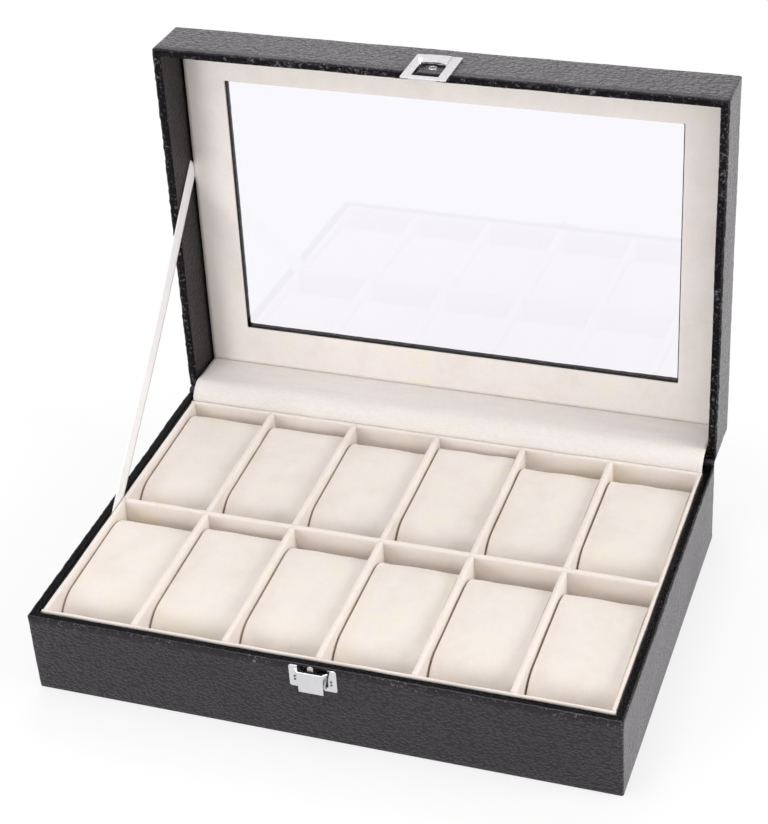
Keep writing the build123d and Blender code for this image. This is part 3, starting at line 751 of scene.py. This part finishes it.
def makeTray():
    # one board along each line, from above: the liners, the long divider, and each cross divider in two parts
    shape = boardShape
    front, back, half, butt = shape["trayFront"], shape["trayBack"], shape["halfTray"], shape["butt"]
    liner, divider = shape["liner"], shape["divider"]
    middle = (front + back) / 2
    outside = half + liner
    rows = {
        "tray_front_liner": [((-outside, front - liner / 2), (outside, front - liner / 2), liner)],
        "tray_back_liner": [((-outside, back + liner / 2), (outside, back + liner / 2), liner)],
        "tray_left_liner": [((-half - liner / 2, front - butt), (-half - liner / 2, back + butt), liner)],
        "tray_right_liner": [((half + liner / 2, front - butt), (half + liner / 2, back + butt), liner)],
        "tray_long_divider": [((-half - butt, middle), (half + butt, middle), divider)],
    }
    for number in range(1, 6):
        x = (number - 3) * placePitch
        rows[f"tray_cross_divider_{number}"] = [
            ((x, front - butt), (x, middle - divider / 2 + butt), divider),
            ((x, middle + divider / 2 - butt), (x, back + butt), divider),
        ]
    for seed, (node, lines) in enumerate(rows.items()):
        parts = [velvetBoard(a, b, t, 100 + 7 * seed + 3 * k) for k, (a, b, t) in enumerate(lines)]
        finished(makeMesh(camelName(node, "Board"), parts), beigeVelvet, "base", [node])


makeTray()
print("stage: velvet boards")


# Velvet frame inside the lid

frameShape = {
    "edge": 0.45, "step": 2.5, "gap": 0.7, "corner": 0.3, "windowCorner": 0.6, "padding": 0.10, "paddingLength": 60.0,
}


def makeLidFrame():
    # loops from the window's edge out to the lid's walls, their face padded by a long ripple
    shape = frameShape
    outer, innerEdge = box["rim"] + shape["gap"], window["margin"] - window["velvetStep"]
    edge = shape["edge"]
    rows = np.vstack([
        [[innerEdge, glassInside]],
        arc((innerEdge - edge, lidFace + edge), edge, 0, -90, 5),
        run((innerEdge - edge, lidFace), (outer, lidFace), 1.8), [[outer, lidFace]],
        [[outer, glassInside]],
    ])
    radius = np.where(rows[:, 0] > 20, shape["windowCorner"], shape["corner"])
    flat, _ = carriedRound(rows, radius, shape["step"])
    flat = towardsWindow(flat, smooth(outer, innerEdge - edge, rows[:, 0]))
    onFace = smooth(innerEdge, innerEdge - 4, rows[:, 0]) * smooth(outer, outer + 4, rows[:, 0])
    flat[..., 2] += ripple(flat, shape["paddingLength"], 71) * shape["padding"] * onFace[:, None]
    points = lidPoints(flat[..., 0], flat[..., 1] - box["depth"] / 2, flat[..., 2])
    return makeMesh("lidVelvetFace", [(points, True, True, False)])


# the frame takes the lighter copy of the velvet, painted light
finished(makeLidFrame(), linerVelvet, "lid", ["lid_velvet_frame"])
print("stage: lid frame")


# Pillows

pillowShape = {
    "width": 43.23, "length": 82.8, "height": 38.3, "rounds": (15.5, 2.0, 10.0), "endRound": 0.6,
    "slope": 1.6,   # how much lower the top is towards the front
    "pads": (17.0, 10.5, 6.0, 19.5),    # the top back rounding of each kind of pad
    "inset": 0.6, "around": 96, "across": 26, "frames": 20, "cap": 1.0, "crown": 0.4,
    "panel": (2.2, 4.2, 6.5, 9.0, 11.5, 14.0, 15.8),    # the rings that close an end
    "rows": {"front": (-3.1, (0, 1, 0, 0, 3, 3)), "back": (92.3, (1, 1, 0, 2, 0, 0))},  # back end, kinds of pad
}
padCloth = {
    "quality": 7, "mass": 0.25, "tension_stiffness": 22, "compression_stiffness": 22, "shear_stiffness": 8,
    "bending_stiffness": 0.4, "use_pressure": True, "uniform_pressure_force": 4.0,
}


def pillowLoop(inset, backRound):
    # side view from front to back: a rounded rectangle whose four corners have their own radii
    shape = pillowShape
    low, high = inset, shape["height"] - inset
    front, back = inset - shape["length"], -inset
    tf, bb, bf = (r - inset for r in shape["rounds"])
    tb = backRound - inset
    loop = np.vstack([
        arc((front + tf, high - tf), tf, 180, 90, 14), arc((back - tb, high - tb), tb, 90, 0, 10),
        arc((back - bb, low + bb), bb, 0, -90, 6), arc((front + bf, low + bf), bf, -90, -180, 10),
    ])
    loop[:, 1] -= shape["slope"] * smooth(12, 75, -loop[:, 0]) * smooth(high - 16, high - 2, loop[:, 1])
    return evenly(loop, shape["around"], closed=True)


def pillowGrid(backRound):
    # loops of the wrap from left to right, a small rounded edge at each end, then rings that close the end panel
    shape = pillowShape
    loop = pillowLoop(shape["inset"], backRound)
    middle = np.array([-shape["length"] / 2, shape["height"] / 2])
    half, edge = shape["width"] / 2 - 0.3, shape["endRound"]
    turn = np.linspace(0, math.pi / 2, 4)
    wrap = np.linspace(0, half - edge, shape["across"] // 2 + 1)[:-1]
    x = np.concatenate([wrap, half - edge + edge * np.sin(turn), np.full(len(shape["panel"]), half)])
    draw = np.concatenate([np.zeros(len(wrap)), edge * (1 - np.cos(turn)), shape["panel"]])
    x = np.concatenate([-x[:0:-1], x])
    draw = np.concatenate([draw[:0:-1], draw])
    reach = middle * [-1, 1] - shape["inset"]
    share = 1 - draw[:, None] / reach[None, :]
    plan = middle + (loop - middle)[None] * share[:, None, :]
    return np.dstack([np.repeat(x[:, None], len(loop), axis=1), plan]), draw


def vertexPlaces(mesh):
    places = np.zeros(len(mesh.vertices) * 3)
    mesh.vertices.foreach_get("co", places)
    return places.reshape(-1, 3)


def puff(piece, held):
    # air pressure swells the pad between its sewn end edges, and no point moves further than the cap
    shape = pillowShape
    before = vertexPlaces(piece.data)
    group = piece.vertex_groups.new(name="held")
    group.add(held.tolist(), 1.0, "REPLACE")
    cloth = piece.modifiers.new("puff", "CLOTH")
    for key, value in padCloth.items():
        setattr(cloth.settings, key, value)
    cloth.settings.vertex_group_mass = "held"
    cloth.settings.effector_weights.gravity = 0
    cloth.collision_settings.use_collision = False
    cloth.point_cache.frame_start, cloth.point_cache.frame_end = 1, shape["frames"]
    for frameNumber in range(1, shape["frames"] + 1):
        scene.frame_set(frameNumber)
    after = vertexPlaces(piece.evaluated_get(bpy.context.evaluated_depsgraph_get()).data)
    piece.modifiers.remove(cloth)
    scene.frame_set(1)
    move = after - before
    far = np.linalg.norm(move, axis=1, keepdims=True)
    print("pad swelled by up to", round(float(far.max() / mm), 2), "mm")
    move *= np.minimum(1, shape["cap"] * mm / np.maximum(far, 1e-9))
    return (before + move) / mm


def softLimit(value, low, high, soft):
    # pushes back what passes a limit, easing in over a short way before it
    over = np.maximum(value - (high - soft), 0)
    under = np.maximum((low + soft) - value, 0)
    return value - over + soft * np.tanh(over / soft) + under - soft * np.tanh(under / soft)


def makePads():
    # four kinds of pad, uneven before they are swelled, so that each settles in its own way
    shape = pillowShape
    pads = []
    for seed, backRound in enumerate(shape["pads"]):
        grid, draw = pillowGrid(backRound)
        held = np.flatnonzero(np.repeat((draw > 0) & (draw < shape["endRound"] * 0.8), grid.shape[1]))
        start = grid.copy()
        inside = smooth(shape["width"] / 2, shape["width"] / 2 - 8, np.abs(grid[..., 0]))
        start[..., 1] += 0.3 * ripple(grid, 30.0, 500 + seed) * inside
        start[..., 2] += 0.3 * ripple(grid, 26.0, 520 + seed) * inside * smooth(4, 14, grid[..., 2])
        piece = makeMesh("padToPuff", [(start, False, True, True)])
        points = puff(piece, held)[:grid[..., 0].size].reshape(grid.shape)
        bpy.data.objects.remove(piece)
        pads.append(points)
    return pads


def makePillows():
    # twelve pillows from four pads, turned about and each with its own small creases
    shape = pillowShape
    pads = makePads()
    half = shape["width"] / 2
    places = [
        (row, back, place, kind)
        for row, (back, kinds) in shape["rows"].items() for place, kind in enumerate(kinds)
    ]
    for number, (row, back, place, kind) in enumerate(places):
        points = pads[kind].copy()
        if (place + (row == "back")) % 2:
            points = points[::-1] * [-1, 1, 1]
        seed = 900 + 13 * number
        inside = smooth(half, half - 5, np.abs(points[..., 0]))
        points[..., 2] += 0.22 * ripple(points, 24.0, seed) * inside * smooth(6, 20, points[..., 2])
        points[..., 1] += 0.18 * ripple(points, 22.0, seed + 1) * inside
        limits = (-half, half, 0.2), (-shape["length"] - 0.4, 0.3, 0.3), (0, shape["height"] + 1.0, 0.4)
        points = np.stack([softLimit(points[..., k], *limits[k]) for k in range(3)], -1)
        x = (place - 2.5) * placePitch
        pillow = makeMesh(f"{row}Pillow{place + 1}", [(points + [x, back, floorTop], False, True, True)])
        node = f"pillow_{row}_{place + 1}"
        finished(subdivided(pillow), pillowVelvet, node, [node])


makePillows()
print("stage: pillows")


# Hinge cloth, hinge strip and ribbon

flapShape = {
    "half": 144.4, "thick": 0.5, "wrinkle": 0.35, "columns": 180, "rows": 46,
    "line": (   # its side view, from the lid's panel over the fold and down behind the tray
        (129.4, 52.55), (122, 52.8), (114, 53.1), (108, 53.45), (104.2, 53.5), (101.0, 52.5), (98.2, 50.2),
        (96.3, 47.6), (95.8, 44.8), (95.8, 41), (95.8, 34), (95.8, 27),
    ),
}
spineShape = {
    "half": 149.5, "thick": 0.75, "columns": 150, "foot": (102.4, 30.0), "fold": (104.3, 46.15), "radius": 1.9,
    "reach": 16.0, "away": -2.0,    # how far it goes out from the fold, and at what angle
}
ribbonShape = {
    "width": 10.0, "thick": 0.3, "x": -145.1, "base": (-4.0, 46.0), "lid": (133.15, 174.52),
    "sag": 1.6, "tail": 20.0, "tuck": 1.0, "flutter": 0.25, "columns": 9, "rows": 120,
}


def makeCloth(name, points, thick, uv=None):
    # a middle surface, thickened evenly to both sides
    piece = makeMesh(name, [(points, False, False, False)], uv=uv)
    solid = piece.modifiers.new("thickness", "SOLIDIFY")
    solid.thickness, solid.offset = thick * mm, 0
    return piece


def carried(line, x):
    # a side view of y and z, repeated at every x
    points = np.zeros((len(line), len(x), 3))
    points[..., 0] = x
    points[..., 1:] = line[:, None, :]
    return points


def smoothLine(points, count):
    # a Catmull-Rom line through the points, then evened out
    points = np.asarray(points, float)
    padded = np.vstack([2 * points[0] - points[1], points, 2 * points[-1] - points[-2]])
    t = np.linspace(0, 1, 14)[:-1, None]
    lines = [
        0.5 * (2 * b + (c - a) * t + (2 * a - 5 * b + 4 * c - d) * t**2 + (3 * b - a - 3 * c + d) * t**3)
        for a, b, c, d in zip(padded, padded[1:], padded[2:], padded[3:])
    ]
    return evenly(np.vstack(lines + [points[-1:]]), count)


def makeFlap():
    # the cloth's side view carried across the box, with shallow wrinkles along it
    shape = flapShape
    line = smoothLine(shape["line"], shape["rows"])
    across = np.diff(line, axis=0, append=2 * line[-1:] - line[-2:-1])
    normal = np.stack([-across[:, 1], across[:, 0]], -1)
    normal /= -np.linalg.norm(normal, axis=1)[:, None]
    points = carried(line, np.linspace(-shape["half"], shape["half"], shape["columns"]))
    free = smooth(129, 122, line[:, 0]) * smooth(44, 50, line[:, 1])
    stretched = points * [0.22, 1, 1]
    lift = (ripple(stretched, 9.0, 801) * 0.5 + ripple(stretched, 22.0, 802) + 0.6) * shape["wrinkle"]
    points[..., 1:] += (np.maximum(lift, 0) * free[:, None])[..., None] * normal[:, None, :]
    piece = makeCloth("hingeCloth", points, shape["thick"])
    finished(piece, flapVelvet, None, ["hinge_flap"])
    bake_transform(piece)


def makeSpine():
    # up the back of the base, round the fold line and out under the open lid
    shape = spineShape
    away = math.radians(shape["away"])
    bend = arc(shape["fold"], shape["radius"], 180, 90 + shape["away"], 12)
    end = bend[-1] + np.array([math.cos(away), math.sin(away)]) * shape["reach"]
    line = np.vstack([[shape["foot"]], run(shape["foot"], bend[0], 1.2), bend, run(bend[-1], end, 1.2), [end]])
    points = carried(line, np.linspace(-shape["half"], shape["half"], shape["columns"]))
    piece = makeCloth("hingeStrip", points, shape["thick"])
    finished(piece, blackLeather, None, ["hinge_spine"])
    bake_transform(piece)


def makeRibbon():
    # a taut band between two points with a little sag, its tails tucked in at both ends
    shape = ribbonShape
    low, high = np.array(shape["base"]), np.array(shape["lid"])
    along = (high - low) / np.linalg.norm(high - low)
    start, end = low - along * shape["tail"], high + along * shape["tuck"]
    share = np.linspace(0, 1, shape["rows"])[:, None]
    line = start + (end - start) * share
    part = (line - low) @ along / np.linalg.norm(high - low)
    free = smooth(0, 0.5, part) * smooth(1, 0.5, part)
    side = np.array([-along[1], along[0]])
    line = line - shape["sag"] * free[:, None] * side
    across = np.linspace(-0.5, 0.5, shape["columns"]) * shape["width"]
    points = carried(line, across)
    points[..., 0] = shape["x"] + shape["flutter"] * free[:, None] * (0.6 + across[None, :] / shape["width"])
    points[..., 1:] += across[None, :, None] * side
    length = np.linalg.norm(end - start)
    uv = np.stack(np.broadcast_arrays(across[None, :] + shape["width"], share * length), -1)
    piece = makeCloth("stayRibbon", points, shape["thick"], uv=uv)
    finished(piece, ribbonSatin, None, ["stay_ribbon"])
    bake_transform(piece)


makeFlap()
makeSpine()
makeRibbon()
print("stage: hinge cloths and ribbon")


# Metal pieces: copies of the frame's pieces with softened edges

metalShape = {      # how much the edges are softened, whether the faces are rounded, and the finish
    "catch_plate": (0.10, False, brightChrome), "catch_cover": (0.14, False, brightChrome),
    "catch_hook": (0.08, False, springSteel), "strike_plate": (0.14, False, brightChrome),
    "catch_nails": (0.0, True, darkSteel), "catch_pivot_pin": (0.05, True, springSteel),
    "catch_spring": (0.04, True, springSteel),
}
metalEdge = {"merge": 0.002, "flat": 2.0, "sharp": 28.0, "softened": 32.0, "segments": 2}
eyeletShape = {
    "profile": ((1.2, -0.4), (1.25, 0.2), (1.5, 0.45), (1.9, 0.5), (2.3, 0.35), (2.5, 0.0), (2.4, -0.3)),
    "around": 32,
}


def makeEyelet():
    # a rounded ring turned about the axis of the strike's rivet, on the lid's front face
    low, high = (np.array(corner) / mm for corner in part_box("strike_rivet"))
    middle = (low + high) / 2
    out = (middle[1] - lidCorner[0]) * math.sin(openAngle) + (middle[2] - lidCorner[1]) * math.cos(openAngle)
    profile = np.array(eyeletShape["profile"])
    turn = np.linspace(0, 2 * math.pi, eyeletShape["around"] + 1)[None, :-1]
    x = middle[0] + profile[:, :1] * np.cos(turn)
    across = out + profile[:, :1] * np.sin(turn)
    forward = np.repeat(-box["depth"] - profile[:, 1:2], turn.shape[1], axis=1)
    piece = subdivided(makeMesh("strikeEyelet", [(lidPoints(x, forward, across), True, True, False)]))
    finished(piece, eyeletSteel, "lid", ["strike_rivet"])


def makeMetalPieces():
    # each node's loose triangles are merged, flat ones joined into faces and the sharp edges softened
    bodies = {node: body for body, members in frame["record"]["behaviour"]["bodies"].items() for node in members}
    flat, sharp, softened = (math.radians(metalEdge[key]) for key in ("flat", "sharp", "softened"))
    for node, (edge, rounded, material) in metalShape.items():
        mesh = frame["nodes"][node].data.copy()
        piece = newPiece(camelName(node, "Metal"), mesh)
        form = bmesh.new()
        form.from_mesh(mesh)
        bmesh.ops.remove_doubles(form, verts=form.verts, dist=metalEdge["merge"] * mm)
        bmesh.ops.dissolve_limit(form, angle_limit=flat, verts=form.verts, edges=form.edges)
        form.to_mesh(mesh)
        form.free()
        mesh.polygons.foreach_set("use_smooth", np.full(len(mesh.polygons), rounded))
        mesh.set_sharp_from_angle(angle=sharp)
        if edge:
            soften = piece.modifiers.new("soften", "BEVEL")
            soften.width, soften.segments, soften.limit_method = edge * mm, metalEdge["segments"], "ANGLE"
            soften.angle_limit = softened
        finished(piece, material, bodies[node], [node])


makeMetalPieces()
makeEyelet()
print("stage: metal")


# The frame's own pieces that stay as they are

frameFinish = {
    # the lid's panel is near black, partly painted shade round the pane
    "base_bottom_board": rawBoard, "lid_top_panel": darkPanelBoard, "lid_glass": clearGlass,
    "base_underside_sheet": underFelt, "tray_floor_lining": beigeVelvet,
    **{f"{part}_{side}_wall": rawBoard for part in ("base", "lid") for side in ("front", "back", "left", "right")},
}
for node, material in frameFinish.items():
    frame["nodes"][node].data.materials.clear()
    frame["nodes"][node].data.materials.append(material)
print("stage: frame finishes")
